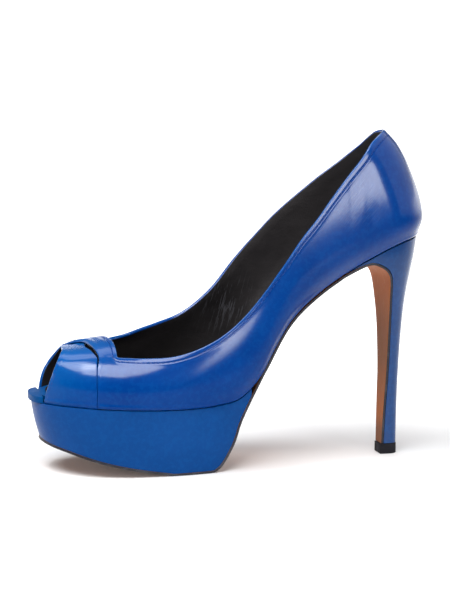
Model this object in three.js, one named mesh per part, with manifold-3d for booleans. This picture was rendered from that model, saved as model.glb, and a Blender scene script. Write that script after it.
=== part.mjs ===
// Platform pump, left shoe: peep toe, crossed strap at the vamp, stiletto heel.
// Millimetres, +Z up, toe toward -X, heel toward +X, lateral side toward -Y.
import * as THREE from 'three';
import Module from 'manifold-3d';

const LENGTH = 223.5;      // toe of the insole lip to the back of the counter, on the floor line
const BALL = 78;           // width of the feather outline across the ball
const SEAT = 125.2;        // height of the bed at the back of the heel seat
const PLATFORM = 36.8;     // height of the bed over the floor at the ball
const VAMP = 30;           // height of the vamp ridge over the bed at the toe
const BACK = 60.5;         // height of the counter over the seat
const WALL = 1.8;          // upper, leather and lining together
const BOARD = 3.4;         // insole board with its cover
const SOCK = 1.2;          // sock lining
const SOLE = 1.7;          // outsole strip
const TOPLIFT = 5.8;       // top piece under the heel
const GAP = 0.3;           // air left between neighbouring pieces
const SLIT = 0.5;          // width of the open seam between toe band and quarter
const CROSS = 1.05;        // how far each strap leaves the last where they cross
const SOCK_EDGE = 0.3;     // margin of bare board round the sock
const LIP_EDGE = 3.4;      // margin of bare lip ahead of the sock
const DRAWN_IN = 0.5;      // how far the platform stops inside the feather line

const TOE = -LENGTH / 2;
const HEEL = LENGTH / 2;
const HEEL_ROUND = 25 / 223.5 * LENGTH;
const LIP_TIP = TOE + 0.2 / 223.5 * LENGTH;
const FEATHER_TIP = TOE + 3 / 223.5 * LENGTH;
const PLATFORM_TIP = TOE + 1.6 / 223.5 * LENGTH;
const SOLE_TIP = TOE + 5.6 / 223.5 * LENGTH;
const TOE_ROUND = 46 / 223.5 * LENGTH;
const RUN_END = 0.5 + (HEEL - HEEL_ROUND + HEEL_ROUND * Math.PI / 2) / LENGTH;

// The last by sections: rise of the bed as a share of the climb to the seat, half widths of
// the feather line and of the widest girth (lateral, medial) as shares of half the ball,
// height of the widest point and of the ridge as shares of the vamp height.
const LAST = [
  { at: 0.000, rise: 0.020, lat: 0.970, med: 0.930, latG: 0.990, medG: 0.960, belly: 0.30, ridge: 0.92 },
  { at: 0.090, rise: 0.024, lat: 0.980, med: 0.940, latG: 1.000, medG: 0.970, belly: 0.30, ridge: 0.96 },
  { at: 0.160, rise: 0.017, lat: 1.000, med: 0.960, latG: 1.020, medG: 0.985, belly: 0.30, ridge: 1.04 },
  { at: 0.240, rise: 0.007, lat: 1.010, med: 0.970, latG: 1.040, medG: 1.000, belly: 0.30, ridge: 1.14 },
  { at: 0.320, rise: 0.000, lat: 1.000, med: 0.970, latG: 1.050, medG: 1.000, belly: 0.33, ridge: 1.40 },
  { at: 0.385, rise: 0.001, lat: 0.965, med: 0.930, latG: 1.040, medG: 0.990, belly: 0.40, ridge: 1.70 },
  { at: 0.440, rise: 0.010, lat: 0.900, med: 0.860, latG: 1.010, medG: 0.955, belly: 0.48, ridge: 2.05 },
  { at: 0.510, rise: 0.052, lat: 0.770, med: 0.730, latG: 0.945, medG: 0.900, belly: 0.62, ridge: 2.55 },
  { at: 0.560, rise: 0.170, lat: 0.670, med: 0.620, latG: 0.890, medG: 0.850, belly: 0.74, ridge: 2.90 },
  { at: 0.595, rise: 0.319, lat: 0.615, med: 0.560, latG: 0.860, medG: 0.820, belly: 0.80, ridge: 3.10 },
  { at: 0.632, rise: 0.462, lat: 0.575, med: 0.525, latG: 0.830, medG: 0.795, belly: 0.82, ridge: 3.20 },
  { at: 0.668, rise: 0.560, lat: 0.555, med: 0.510, latG: 0.800, medG: 0.775, belly: 0.82, ridge: 3.20 },
  { at: 0.704, rise: 0.637, lat: 0.550, med: 0.510, latG: 0.775, medG: 0.760, belly: 0.80, ridge: 3.20 },
  { at: 0.776, rise: 0.763, lat: 0.560, med: 0.540, latG: 0.735, medG: 0.735, belly: 0.74, ridge: 3.15 },
  { at: 0.850, rise: 0.869, lat: 0.580, med: 0.580, latG: 0.705, medG: 0.705, belly: 0.68, ridge: 3.05 },
  { at: 0.925, rise: 0.958, lat: 0.590, med: 0.590, latG: 0.680, medG: 0.680, belly: 0.64, ridge: 2.95 },
  { at: 1.000, rise: 1.005, lat: 0.590, med: 0.590, latG: 0.660, medG: 0.660, belly: 0.62, ridge: 2.90 },
];
// Forward lean of the counter by height over the seat, both as shares.
const LEAN = [
  { at: 0.00, by: -0.0130 }, { at: 0.15, by: 0.0000 }, { at: 0.30, by: -0.0035 },
  { at: 0.45, by: -0.0150 }, { at: 0.60, by: -0.0310 }, { at: 0.75, by: -0.0500 },
  { at: 0.88, by: -0.0730 }, { at: 1.00, by: -0.1060 }, { at: 1.10, by: -0.1300 },
];
// Topline height over the ball, as a share of the climb to the top of the counter.
const TOPLINE = [
  { at: 0.197, lat: 0.189, med: 0.206 }, { at: 0.262, lat: 0.187, med: 0.238 },
  { at: 0.337, lat: 0.195, med: 0.264 }, { at: 0.405, lat: 0.227, med: 0.297 },
  { at: 0.476, lat: 0.287, med: 0.374 }, { at: 0.557, lat: 0.394, med: 0.485 },
  { at: 0.611, lat: 0.491, med: 0.568 }, { at: 0.675, lat: 0.605, med: 0.658 },
  { at: 0.718, lat: 0.668, med: 0.708 }, { at: 0.774, lat: 0.751, med: 0.767 },
  { at: 0.819, lat: 0.813, med: 0.813 }, { at: 0.866, lat: 0.873, med: 0.858 },
  { at: 0.933, lat: 0.954, med: 0.925 }, { at: 0.975, lat: 0.980, med: 0.962 },
  { at: 1.020, lat: 0.994, med: 0.989 }, { at: 1.064, lat: 0.996, med: 0.996 },
];
// The band by legs. front and rear edge each by station (share of the length) and by place
// across the last (-1 lateral feather, 0 ridge, +1 medial feather); lift in shares of CROSS.
const TOE_BAND_LATERAL = [
  { front: [0.029, -1.00], rear: [0.144, -1.00], lift: 0.0 },
  { front: [0.034, -0.80], rear: [0.144, -0.78], lift: 0.0 },
  { front: [0.046, -0.56], rear: [0.145, -0.56], lift: 0.0 },
  { front: [0.059, -0.36], rear: [0.152, -0.31], lift: 0.0 },
];
const CROSSING_UNDER = [
  { front: [0.059, -0.36], rear: [0.1520, -0.31], lift: 0.0 },
  { front: [0.069, -0.20], rear: [0.1440, -0.17], lift: -0.5 },
  { front: [0.080, -0.04], rear: [0.1380, -0.01], lift: -1.0 },
  { front: [0.090, 0.11], rear: [0.1590, 0.12], lift: -1.0 },
  { front: [0.110, 0.23], rear: [0.1880, 0.22], lift: -1.0 },
  { front: [0.148, 0.37], rear: [0.2000, 0.30], lift: -0.5 },
  { front: [0.158, 0.50], rear: [0.2045, 0.36], lift: 0.0 },
];
const CROSSING_OVER = [
  { front: [0.1550, -0.28], rear: [0.1990, -0.31], lift: 0.0 },
  { front: [0.1510, -0.14], rear: [0.2010, -0.18], lift: 0.5 },
  { front: [0.1400, 0.03], rear: [0.2005, -0.01], lift: 1.0 },
  { front: [0.1120, 0.17], rear: [0.1900, 0.14], lift: 1.0 },
  { front: [0.0940, 0.29], rear: [0.1580, 0.26], lift: 1.0 },
  { front: [0.0800, 0.42], rear: [0.1400, 0.40], lift: 0.5 },
  { front: [0.0640, 0.54], rear: [0.1390, 0.53], lift: 0.0 },
];
const TOE_BAND_MEDIAL = [
  { front: [0.064, 0.54], rear: [0.139, 0.53], lift: 0.0 },
  { front: [0.046, 0.70], rear: [0.143, 0.70], lift: 0.0 },
  { front: [0.037, 0.86], rear: [0.144, 0.86], lift: 0.0 },
  { front: [0.034, 1.00], rear: [0.144, 1.00], lift: 0.0 },
];
// Underside of the outsole: station by length, height over the floor as a share of the platform.
const TREAD = [
  { at: 0.025, z: 0.4457 }, { at: 0.045, z: 0.4076 }, { at: 0.080, z: 0.3505 },
  { at: 0.120, z: 0.2745 }, { at: 0.165, z: 0.1984 }, { at: 0.215, z: 0.1277 },
  { at: 0.265, z: 0.0679 }, { at: 0.310, z: 0.0217 }, { at: 0.335, z: 0.0000 },
  { at: 0.380, z: 0.0000 }, { at: 0.425, z: 0.0000 }, { at: 0.442, z: 0.0353 },
  { at: 0.461, z: 0.1522 }, { at: 0.488, z: 0.4348 }, { at: 0.510, z: 0.7663 },
];
// Front of the heel, down from the turn under the seat: station, share of the seat height,
// half width as a share of half the ball.
const BREAST = [
  { at: 0.838, z: 0.876, half: 0.559 }, { at: 0.866, z: 0.868, half: 0.544 },
  { at: 0.887, z: 0.842, half: 0.503 }, { at: 0.8965, z: 0.800, half: 0.451 },
  { at: 0.9005, z: 0.700, half: 0.359 }, { at: 0.9025, z: 0.580, half: 0.282 },
  { at: 0.9020, z: 0.390, half: 0.213 }, { at: 0.8985, z: 0.250, half: 0.174 },
  { at: 0.8960, z: 0.120, half: 0.146 }, { at: 0.8950, z: 0.049, half: 0.136 },
];
// Heel by height: back of the section by length, half width as a share of half the ball.
const HEEL_STEM = [
  { at: 0.040, back: 0.9418, half: 0.133 }, { at: 0.185, back: 0.9424, half: 0.162 },
  { at: 0.380, back: 0.9455, half: 0.213 }, { at: 0.575, back: 0.9517, half: 0.282 },
  { at: 0.700, back: 0.9580, half: 0.359 }, { at: 0.775, back: 0.9640, half: 0.436 },
  { at: 0.825, back: 0.9690, half: 0.500 }, { at: 0.860, back: 0.9725, half: 0.544 },
  { at: 0.900, back: 0.9770, half: 0.574 }, { at: 0.950, back: 0.9815, half: 0.587 },
  { at: 1.020, back: 0.9860, half: 0.590 },
];

const clamp = (t) => Math.min(1, Math.max(0, t));
const smooth = (t) => clamp(t) * clamp(t) * (3 - 2 * clamp(t));
const mix = (a, b, t) => a + (b - a) * t;

// Smooth curve through the rows of a table, straight on past its ends.
function through(rows, x, y) {
  const xs = rows.map(x);
  const ys = rows.map(y);
  const n = xs.length;
  const slope = (i) => (ys[i + 1] - ys[i]) / (xs[i + 1] - xs[i]);
  const m = ys.map((_, i) => {
    if (i === 0) return slope(0);
    if (i === n - 1) return slope(n - 2);
    const before = xs[i] - xs[i - 1];
    const after = xs[i + 1] - xs[i];
    return (slope(i - 1) * after + slope(i) * before) / (before + after);
  });
  return (v) => {
    if (v <= xs[0]) return ys[0] + m[0] * (v - xs[0]);
    if (v >= xs[n - 1]) return ys[n - 1] + m[n - 1] * (v - xs[n - 1]);
    let i = 0;
    while (v > xs[i + 1]) i += 1;
    const h = xs[i + 1] - xs[i];
    const t = (v - xs[i]) / h;
    const t2 = t * t;
    const t3 = t2 * t;
    return (2 * t3 - 3 * t2 + 1) * ys[i] + (t3 - 2 * t2 + t) * h * m[i]
      + (3 * t2 - 2 * t3) * ys[i + 1] + (t3 - t2) * h * m[i + 1];
  };
}

const column = (rows, key) => through(rows, (r) => r.at, (r) => r[key]);
const last = Object.fromEntries(Object.keys(LAST[0]).map((key) => [key, column(LAST, key)]));
const leanBy = column(LEAN, 'by');
const topline = { lat: column(TOPLINE, 'lat'), med: column(TOPLINE, 'med') };

const share = (x) => x / LENGTH + 0.5;
const bed = (x) => PLATFORM + last.rise(share(x)) * (SEAT - PLATFORM);
const leanFrom = -0.09 * LENGTH;
const leanAt = (x, h) => leanBy(h / BACK) * LENGTH
  * smooth((x - leanFrom) / (HEEL - HEEL_ROUND - leanFrom));
const footX = (x) => x + leanAt(x, 0);
// Point under the bed line, a clearance away along its normal.
function underBed(x, off) {
  const dx = footX(x + 0.05) - footX(x - 0.05);
  const dz = bed(x + 0.05) - bed(x - 0.05);
  const size = Math.hypot(dx, dz);
  return { x: footX(x) + off * dz / size, z: bed(x) - off * dx / size };
}

function toeRound(x, tip) {
  const d = clamp((x - tip) / TOE_ROUND);
  return Math.pow(1 - Math.pow(1 - d, 2.2), 1 / 2.2);
}
const axis = (x) => 5 * BALL / 78 * Math.pow(1 - clamp((x - FEATHER_TIP) / (TOE_ROUND * 1.4)), 2);

// Station x on the last for a run along the side; past the heel the run goes round the back.
function station(run) {
  const u = (run - 0.5) * LENGTH;
  const turn = HEEL - HEEL_ROUND;
  if (u <= turn) return { x: u, round: 1 };
  const angle = (u - turn) / HEEL_ROUND;
  return { x: turn + HEEL_ROUND * Math.sin(angle), round: Math.cos(angle) };
}

// Feather outline in plan, drawn in by an inset: half width, and y, of one side at station x.
function halfAt(x, side, tip, inset) {
  const half = last[side < 0 ? 'lat' : 'med'](share(x)) * BALL / 2 - inset;
  const d = clamp((x - (HEEL - HEEL_ROUND)) / (HEEL_ROUND - inset));
  return half * toeRound(x, tip + inset) * Math.sqrt(1 - d * d);
}
const feather = (x, side, tip = FEATHER_TIP, inset = 0) => axis(x) + side * halfAt(x, side, tip, inset);

const PHI = 0.25;
// Point of the last: run along the shoe, c across it.
function lastPoint(run, c) {
  const { x, round } = station(run);
  const s = share(x);
  const side = c < 0 ? -1 : 1;
  const toe = toeRound(x, FEATHER_TIP) * BALL / 2;
  const foot = last[side < 0 ? 'lat' : 'med'](s) * toe;
  const girth = last[side < 0 ? 'latG' : 'medG'](s) * toe;
  const belly = last.belly(s) * VAMP;
  const ridge = last.ridge(s) * VAMP;
  const phi = 1 - Math.abs(c);
  let y;
  let h;
  if (phi < PHI) {
    const k = phi / PHI;
    h = belly * k;
    y = foot + (girth - foot) * (1 - (1 - k) * (1 - k));
  } else {
    const a = (phi - PHI) / (1 - PHI) * Math.PI / 2;
    y = girth * Math.pow(Math.max(0, Math.cos(a)), 2 / 2.8);
    h = belly + (ridge - belly) * Math.sin(a);
  }
  return new THREE.Vector3(x + leanAt(x, h), axis(x) + side * y * round, bed(x) + h);
}

// The same point moved along the outward normal.
function skin(run, c, off) {
  const p = lastPoint(run, c);
  const along = lastPoint(run + 0.002, c).sub(lastPoint(run - 0.002, c));
  const across = lastPoint(run, Math.min(1, c + 0.004)).sub(lastPoint(run, Math.max(-1, c - 0.004)));
  return p.addScaledVector(along.cross(across).normalize(), off);
}

// Place across the last of the topline at a run.
function toplineC(run, side) {
  const { x } = station(run);
  const climb = topline[side < 0 ? 'lat' : 'med'](run) * (SEAT + BACK - PLATFORM);
  const h = PLATFORM + climb - bed(x);
  const belly = last.belly(share(x)) * VAMP;
  const ridge = last.ridge(share(x)) * VAMP;
  const phi = PHI + (1 - PHI) * Math.asin(clamp((h - belly) / (ridge - belly))) / (Math.PI / 2);
  return side * (1 - phi);
}

// Closed body from vertices and faces, turned to face out.
function body(points, faces) {
  let volume = 0;
  for (const [a, b, c] of faces) {
    const [p, q, r] = [points[a], points[b], points[c]];
    volume += p.dot(new THREE.Vector3().crossVectors(q, r));
  }
  const index = volume < 0 ? faces.map(([a, b, c]) => [a, c, b]) : faces;
  const geometry = new THREE.BufferGeometry();
  geometry.setAttribute('position', new THREE.Float32BufferAttribute(
    points.flatMap((p) => [p.x, p.y, p.z]), 3));
  geometry.setIndex(index.flat());
  return geometry;
}

// Sheet with two faces: rows x cols of points on each, closed round the border.
function sheet(rows, cols, outer, inner) {
  const points = [];
  for (const face of [outer, inner]) {
    for (let i = 0; i < rows; i += 1) for (let j = 0; j < cols; j += 1) points.push(face(i, j));
  }
  const at = (i, j) => i * cols + j;
  const under = rows * cols;
  const faces = [];
  for (let i = 0; i < rows - 1; i += 1) {
    for (let j = 0; j < cols - 1; j += 1) {
      const [a, b, c, d] = [at(i, j), at(i + 1, j), at(i + 1, j + 1), at(i, j + 1)];
      faces.push([a, b, c], [a, c, d], [a + under, c + under, b + under],
        [a + under, d + under, c + under]);
    }
  }
  const border = [];
  for (let i = 0; i < rows - 1; i += 1) border.push(at(i, 0));
  for (let j = 0; j < cols - 1; j += 1) border.push(at(rows - 1, j));
  for (let i = rows - 1; i > 0; i -= 1) border.push(at(i, cols - 1));
  for (let j = cols - 1; j > 0; j -= 1) border.push(at(0, j));
  border.forEach((a, k) => {
    const b = border[(k + 1) % border.length];
    faces.push([b, a, a + under], [b, a + under, b + under]);
  });
  return body(points, faces);
}

// Board of rungs: each rung gives its lateral and medial end, above and below.
function ladder(rungs) {
  return sheet(rungs.length, 2,
    (i, j) => (j ? rungs[i].upMed : rungs[i].upLat),
    (i, j) => (j ? rungs[i].downMed : rungs[i].downLat));
}

const spread = (n, from, to) => Array.from({ length: n }, (_, i) => mix(from, to, i / (n - 1)));
// Stations packed toward both ends, where the outline turns.
const packed = (n, from, to) => spread(n, 0, 1)
  .map((t) => mix(from, to, 0.5 - 0.5 * Math.cos(Math.PI * (0.012 + 0.976 * t))));

// The band: legs joined end to end from the lateral toe, round the heel, to the medial toe.
function leg(rows, n) {
  const keyed = rows.map((r, i) => ({ ...r, at: i / (rows.length - 1) }));
  const pick = (get) => through(keyed, (r) => r.at, get);
  const cols = [pick((r) => r.front[0]), pick((r) => r.front[1]),
    pick((r) => r.rear[0]), pick((r) => r.rear[1]), pick((r) => r.lift)];
  return spread(n, 0, 1).map((t) => {
    const [fs, fc, rs, rc, lift] = cols.map((f) => f(t));
    return { front: [fs, fc], rear: [rs, rc], lift };
  });
}

const seamRun = TOE_BAND_LATERAL[0].rear[0] + SLIT / LENGTH;
const cornerRun = 0.2045;
// Quarter of one side from the seam foot to the back of the heel.
function quarter(side) {
  return spread(54, 0, 1).map((t) => {
    const rear = mix(cornerRun, RUN_END, t);
    return { front: [mix(seamRun, RUN_END, t), side], rear: [rear, toplineC(rear, side)], lift: 0 };
  });
}
// Fan at the throat: up the seam, while the rear edge rounds the corner of the throat.
const seam = (rows, side) => through(rows.map((r) => ({ at: side * r.rear[1], by: r.rear[0] }))
  .sort((p, q) => p.at - q.at), (r) => r.at, (r) => r.by);
function fan(side, top, rows) {
  const corner = toplineC(cornerRun, side);
  const seamAt = seam(rows, side);
  return spread(9, 0, 1).map((t) => {
    const turn = t * Math.PI / 2;
    const c = mix(side, top.front[1], t);
    const along = seamAt(side * c) + SLIT / LENGTH;
    return {
      front: [mix(top.front[0], along, smooth((side * (c - top.front[1])) / 0.2)), c],
      rear: [mix(cornerRun, top.rear[0], Math.sin(turn)), mix(corner, top.rear[1], 1 - Math.cos(turn))],
      lift: 0,
    };
  });
}

const under = leg(CROSSING_UNDER, 20);
const over = leg(CROSSING_OVER, 20);
const band = [
  ...leg(TOE_BAND_LATERAL, 10).slice(0, -1),
  ...under.slice(0, -1),
  ...fan(1, under[under.length - 1], TOE_BAND_MEDIAL).reverse().slice(0, -1),
  ...quarter(1).slice(0, -1),
  ...quarter(-1).reverse().slice(0, -1),
  ...fan(-1, over[0], TOE_BAND_LATERAL).slice(0, -1),
  ...over.slice(0, -1),
  ...leg(TOE_BAND_MEDIAL, 10),
];
const BAND_COLS = 9;
function bandPoint(i, j, depth) {
  const { front, rear, lift } = band[i];
  const t = j / (BAND_COLS - 1);
  return skin(mix(front[0], rear[0], t), mix(front[1], rear[1], t), lift * CROSS - depth);
}
const upper = sheet(band.length, BAND_COLS, (i, j) => bandPoint(i, j, 0), (i, j) => bandPoint(i, j, WALL));

// Insole board: its covered lip fills the peep ahead of the rim, the rest lies inside the wall.
const inner = WALL + 2 * GAP;
const rimX = (TOE_BAND_LATERAL[0].front[0] - 0.5) * LENGTH - GAP;
function boardRung(x, tip, draw, up, down) {
  const lip = 1 - 0.2 * clamp((x - tip) / (rimX - tip));
  const y = (side) => (x < rimX ? axis(x) + side * halfAt(x, side, tip, 0) * lip
    : feather(x, side, FEATHER_TIP, inner + draw));
  const foot = (z, side) => {
    const p = underBed(x, -z);
    return new THREE.Vector3(p.x, y(side), p.z);
  };
  return { upLat: foot(up, -1), upMed: foot(up, 1), downLat: foot(down, -1), downMed: foot(down, 1) };
}
const boardEnd = HEEL - inner - 0.2;
const lipRuns = (tip) => spread(12, 0.06, 1).map((t) => mix(tip, rimX - 0.02, t * t));
const bedRuns = (short) => spread(60, 0, 1)
  .map((t) => mix(rimX, boardEnd - short, 0.5 - 0.5 * Math.cos(0.985 * Math.PI * t)));
const insole = ladder([...lipRuns(LIP_TIP), ...bedRuns(0)].map((x) => boardRung(x, LIP_TIP, 0, BOARD, 0)));
const sock = ladder([...lipRuns(LIP_TIP + LIP_EDGE), ...bedRuns(SOCK_EDGE)]
  .map((x) => boardRung(x, LIP_TIP + LIP_EDGE, SOCK_EDGE, BOARD + GAP + SOCK, BOARD + GAP)));

// Centre line of the outsole strip, from the toe to the top piece: x, z, half widths.
const arch = spread(11, 0.556, 0.790).map((s) => {
  const x = (s - 0.5) * LENGTH;
  return { ...underBed(x, GAP * 1.7 + SOLE), lat: -feather(x, -1), med: feather(x, 1) };
});
const tread = TREAD.map((r) => {
  const x = (r.at - 0.5) * LENGTH;
  const draw = mix(0.9, 0.97, smooth((r.at - 0.42) / 0.12));
  const half = (side) => side * feather(x, side, SOLE_TIP) * draw;
  return { x, z: r.z * PLATFORM, lat: half(-1), med: half(1) };
});
const breast = BREAST.map((r) => {
  const half = r.half * BALL / 2;
  return { x: (r.at - 0.5) * LENGTH, z: r.z * SEAT, lat: half, med: half };
});
const stripRows = [...tread, ...arch, ...breast].map((r, i) => ({ ...r, at: i }));
const strip = Object.fromEntries(['x', 'z', 'lat', 'med'].map((key) => [key, column(stripRows, key)]));
const stripEnd = stripRows.length - 1;
const freeZ = strip.z;
strip.z = (t) => Math.max(0, freeZ(t));
function stripAt(t, off) {
  const dx = strip.x(t + 0.01) - strip.x(t - 0.01);
  const dz = strip.z(t + 0.01) - strip.z(t - 0.01);
  const size = Math.hypot(dx, dz);
  return { x: strip.x(t) - off * dz / size, z: strip.z(t) + off * dx / size };
}
function toeStrip(t) {
  const x = strip.x(t);
  const draw = mix(0.9, 0.97, smooth((share(x) - 0.42) / 0.12));
  if (t > tread.length - 1) return { lat: strip.lat(t), med: strip.med(t) };
  return { lat: -feather(x, -1, SOLE_TIP) * draw, med: feather(x, 1, SOLE_TIP) * draw };
}
const stripRuns = [...spread(16, 0, 1).map((t) => 5 * t * t + 0.02), ...spread(70, 5.3, stripEnd)];
const outsole = ladder(stripRuns.map((t) => {
  const low = stripAt(t, 0);
  const high = stripAt(t, SOLE);
  const { lat, med } = toeStrip(t);
  return {
    upLat: new THREE.Vector3(high.x, -lat, high.z), upMed: new THREE.Vector3(high.x, med, high.z),
    downLat: new THREE.Vector3(low.x, -lat, low.z), downMed: new THREE.Vector3(low.x, med, low.z),
  };
}));

// Platform: bed outline above, tread outline below, run out against the arch.
const platformEnd = 0.533;
const platformRuns = packed(52, 0, 1);
const platform = ladder(platformRuns.map((t) => {
  const x = mix(PLATFORM_TIP, (platformEnd - 0.5) * LENGTH, t);
  const run = mix(0.02, tread.length - 0.45, t < 0.0005 ? 0 : Math.pow(t, 0.9));
  const low = stripAt(run, SOLE + GAP);
  const { lat, med } = toeStrip(run);
  const top = (side) => new THREE.Vector3(footX(x), feather(x, side, PLATFORM_TIP) - side * DRAWN_IN,
    bed(x) - GAP);
  return {
    upLat: top(-1), upMed: top(1),
    downLat: new THREE.Vector3(low.x, -lat, low.z), downMed: new THREE.Vector3(low.x, med, low.z),
  };
}));

// D-shaped loops stacked by height: flat in front, rounded behind.
function dLoop(front, back, half, z, n = 22) {
  const round = Math.min(half * 1.08, (back - front) * 0.62);
  const arc = spread(n, -1, 1).map((t) => {
    const a = t * Math.PI / 2;
    const y = Math.sign(a) * half * Math.pow(Math.abs(Math.sin(a)), 0.92);
    return new THREE.Vector3(back - round + round * Math.pow(Math.cos(a), 0.92), y, z);
  });
  return [new THREE.Vector3(front, -half, z), ...arc, new THREE.Vector3(front, half, z)];
}
function loft(loops) {
  const n = loops[0].length;
  const points = loops.flat();
  const faces = [];
  for (let k = 0; k < loops.length - 1; k += 1) {
    for (let i = 0; i < n; i += 1) {
      const [a, b] = [k * n + i, k * n + (i + 1) % n];
      faces.push([a, b, b + n], [a, b + n, a + n]);
    }
  }
  for (let i = 1; i < n - 1; i += 1) {
    faces.push([0, i + 1, i], [points.length - n, points.length - n + i, points.length - n + i + 1]);
  }
  return body(points, faces);
}

const wasm = await Module();
wasm.setup();
function toManifold(geometry) {
  const mesh = new wasm.Mesh({
    numProp: 3,
    vertProperties: new Float32Array(geometry.getAttribute('position').array),
    triVerts: new Uint32Array(geometry.getIndex().array),
  });
  mesh.merge();
  return new wasm.Manifold(mesh);
}
function fromManifold(manifold) {
  const mesh = manifold.getMesh();
  const geometry = new THREE.BufferGeometry();
  geometry.setAttribute('position', new THREE.BufferAttribute(new Float32Array(mesh.vertProperties), 3));
  geometry.setIndex([...mesh.triVerts]);
  return geometry;
}

// Heel: a D-shaped flare kept between the bed above and the strip in front of it.
const behind = HEEL + HEEL_ROUND;
const stem = { back: column(HEEL_STEM, 'back'), half: column(HEEL_STEM, 'half') };
const heelBlock = loft(spread(40, (TOPLIFT + GAP) / SEAT, 1.03).map((t) => dLoop(
  0.26 * LENGTH, (stem.back(t) - 0.5) * LENGTH, stem.half(t) * BALL / 2, t * SEAT)));
const breastFrom = tread.length + arch.length - 2;
const side = [
  ...spread(26, breastFrom, stripEnd).map((t) => stripAt(t, SOLE + GAP)),
  { x: stripAt(stripEnd, SOLE + GAP).x, z: TOPLIFT + GAP },
  { x: behind, z: TOPLIFT + GAP },
  { x: behind, z: underBed(HEEL, GAP).z + 3 },
  ...spread(22, HEEL, stripAt(breastFrom, 0).x + 0.5).map((x) => underBed(x, GAP)),
];
const heelSide = new wasm.CrossSection([side.map(({ x, z }) => [x, z])], 'Positive')
  .extrude(BALL).rotate([90, 0, 0]).translate([0, BALL / 2, 0]);
const heel = fromManifold(toManifold(heelBlock).intersect(heelSide));

const tipFront = (BREAST[BREAST.length - 1].at - 0.5) * LENGTH - 0.1;
const topliftLoops = [0, 0.5, TOPLIFT].map((z) => dLoop(
  tipFront - (z ? 0 : -0.3), (stem.back(0.04) - 0.5) * LENGTH + (z ? 0.25 : -0.1),
  HEEL_STEM[0].half * BALL / 2 + (z ? GAP : 0), z));
const toplift = loft(topliftLoops);

const group = new THREE.Group();
const pieces = [
  ['upper', upper, 0x0b4fb3, 0.42],
  ['platform', platform, 0x1c56a8, 0.42],
  ['insole_board', insole, 0x1c56a8, 0.5],
  ['sock_lining', sock, 0x1b1a1c, 0.8],
  ['outsole', outsole, 0xb57e55, 0.55],
  ['heel', heel, 0x2a5fb0, 0.42],
  ['toplift', toplift, 0x151516, 0.6],
];
for (const [name, geometry, color, roughness] of pieces) {
  geometry.computeVertexNormals();
  const mesh = new THREE.Mesh(geometry, new THREE.MeshStandardMaterial({ color, roughness }));
  mesh.name = name;
  mesh.material.name = name;
  group.add(mesh);
}
export default group;
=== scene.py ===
"""Peep-toe platform pump, left shoe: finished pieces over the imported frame, floor, light, camera."""
from __future__ import annotations

import bisect
import logging
import math
from dataclasses import dataclass
from enum import Enum
from typing import Callable, Iterable, Protocol, Sequence

import bmesh
import bpy
from mathutils import Matrix, Vector

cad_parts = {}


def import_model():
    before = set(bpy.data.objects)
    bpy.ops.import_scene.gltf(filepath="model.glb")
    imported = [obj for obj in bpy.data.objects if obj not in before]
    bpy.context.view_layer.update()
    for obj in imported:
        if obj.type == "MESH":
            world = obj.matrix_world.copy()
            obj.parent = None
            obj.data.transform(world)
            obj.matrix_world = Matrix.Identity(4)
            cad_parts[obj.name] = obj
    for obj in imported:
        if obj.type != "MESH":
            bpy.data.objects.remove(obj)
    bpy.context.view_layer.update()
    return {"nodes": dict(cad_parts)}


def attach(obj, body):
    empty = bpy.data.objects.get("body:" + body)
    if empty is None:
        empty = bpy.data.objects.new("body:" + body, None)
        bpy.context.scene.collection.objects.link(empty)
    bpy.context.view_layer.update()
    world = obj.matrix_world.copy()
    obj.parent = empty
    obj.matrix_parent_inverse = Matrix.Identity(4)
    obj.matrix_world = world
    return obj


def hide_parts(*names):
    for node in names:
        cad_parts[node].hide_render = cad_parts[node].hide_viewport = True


MM = 0.001
SIDES = LATERAL, MEDIAL = -1, 1
LOG = logging.getLogger("pump")
Form = bmesh.types.BMesh
Triple = tuple[float, float, float]
Place = tuple[float, float]  # on the last (run, c), or in a plane (x, z)
Spot = tuple[Triple, float]


class Skin(Enum):
    """Material zones of a piece, by the order of its material slots."""

    OUTER = 0
    INNER = 1


def mix(a: float, b: float, t: float) -> float:
    """Value between a and b at share t."""
    return a + (b - a) * t


def clamp(t: float) -> float:
    """t kept between 0 and 1."""
    return min(1.0, max(0.0, t))


def smooth(t: float) -> float:
    """Eased step from 0 to 1."""
    t = clamp(t)
    return t * t * (3 - 2 * t)


def spread(n: int, a: float, b: float) -> list[float]:
    """n values evenly from a to b."""
    return [mix(a, b, i / (n - 1)) for i in range(n)]


def hump(distance: float, width: float) -> float:
    """Bell of height 1 at distance 0."""
    return math.exp(-((distance / width) ** 2))


def rounded(t: float, power: float) -> float:
    """Share of the full width at a share t of the way into a rounded end."""
    return (1 - (1 - clamp(t)) ** power) ** (1 / power)


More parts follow.
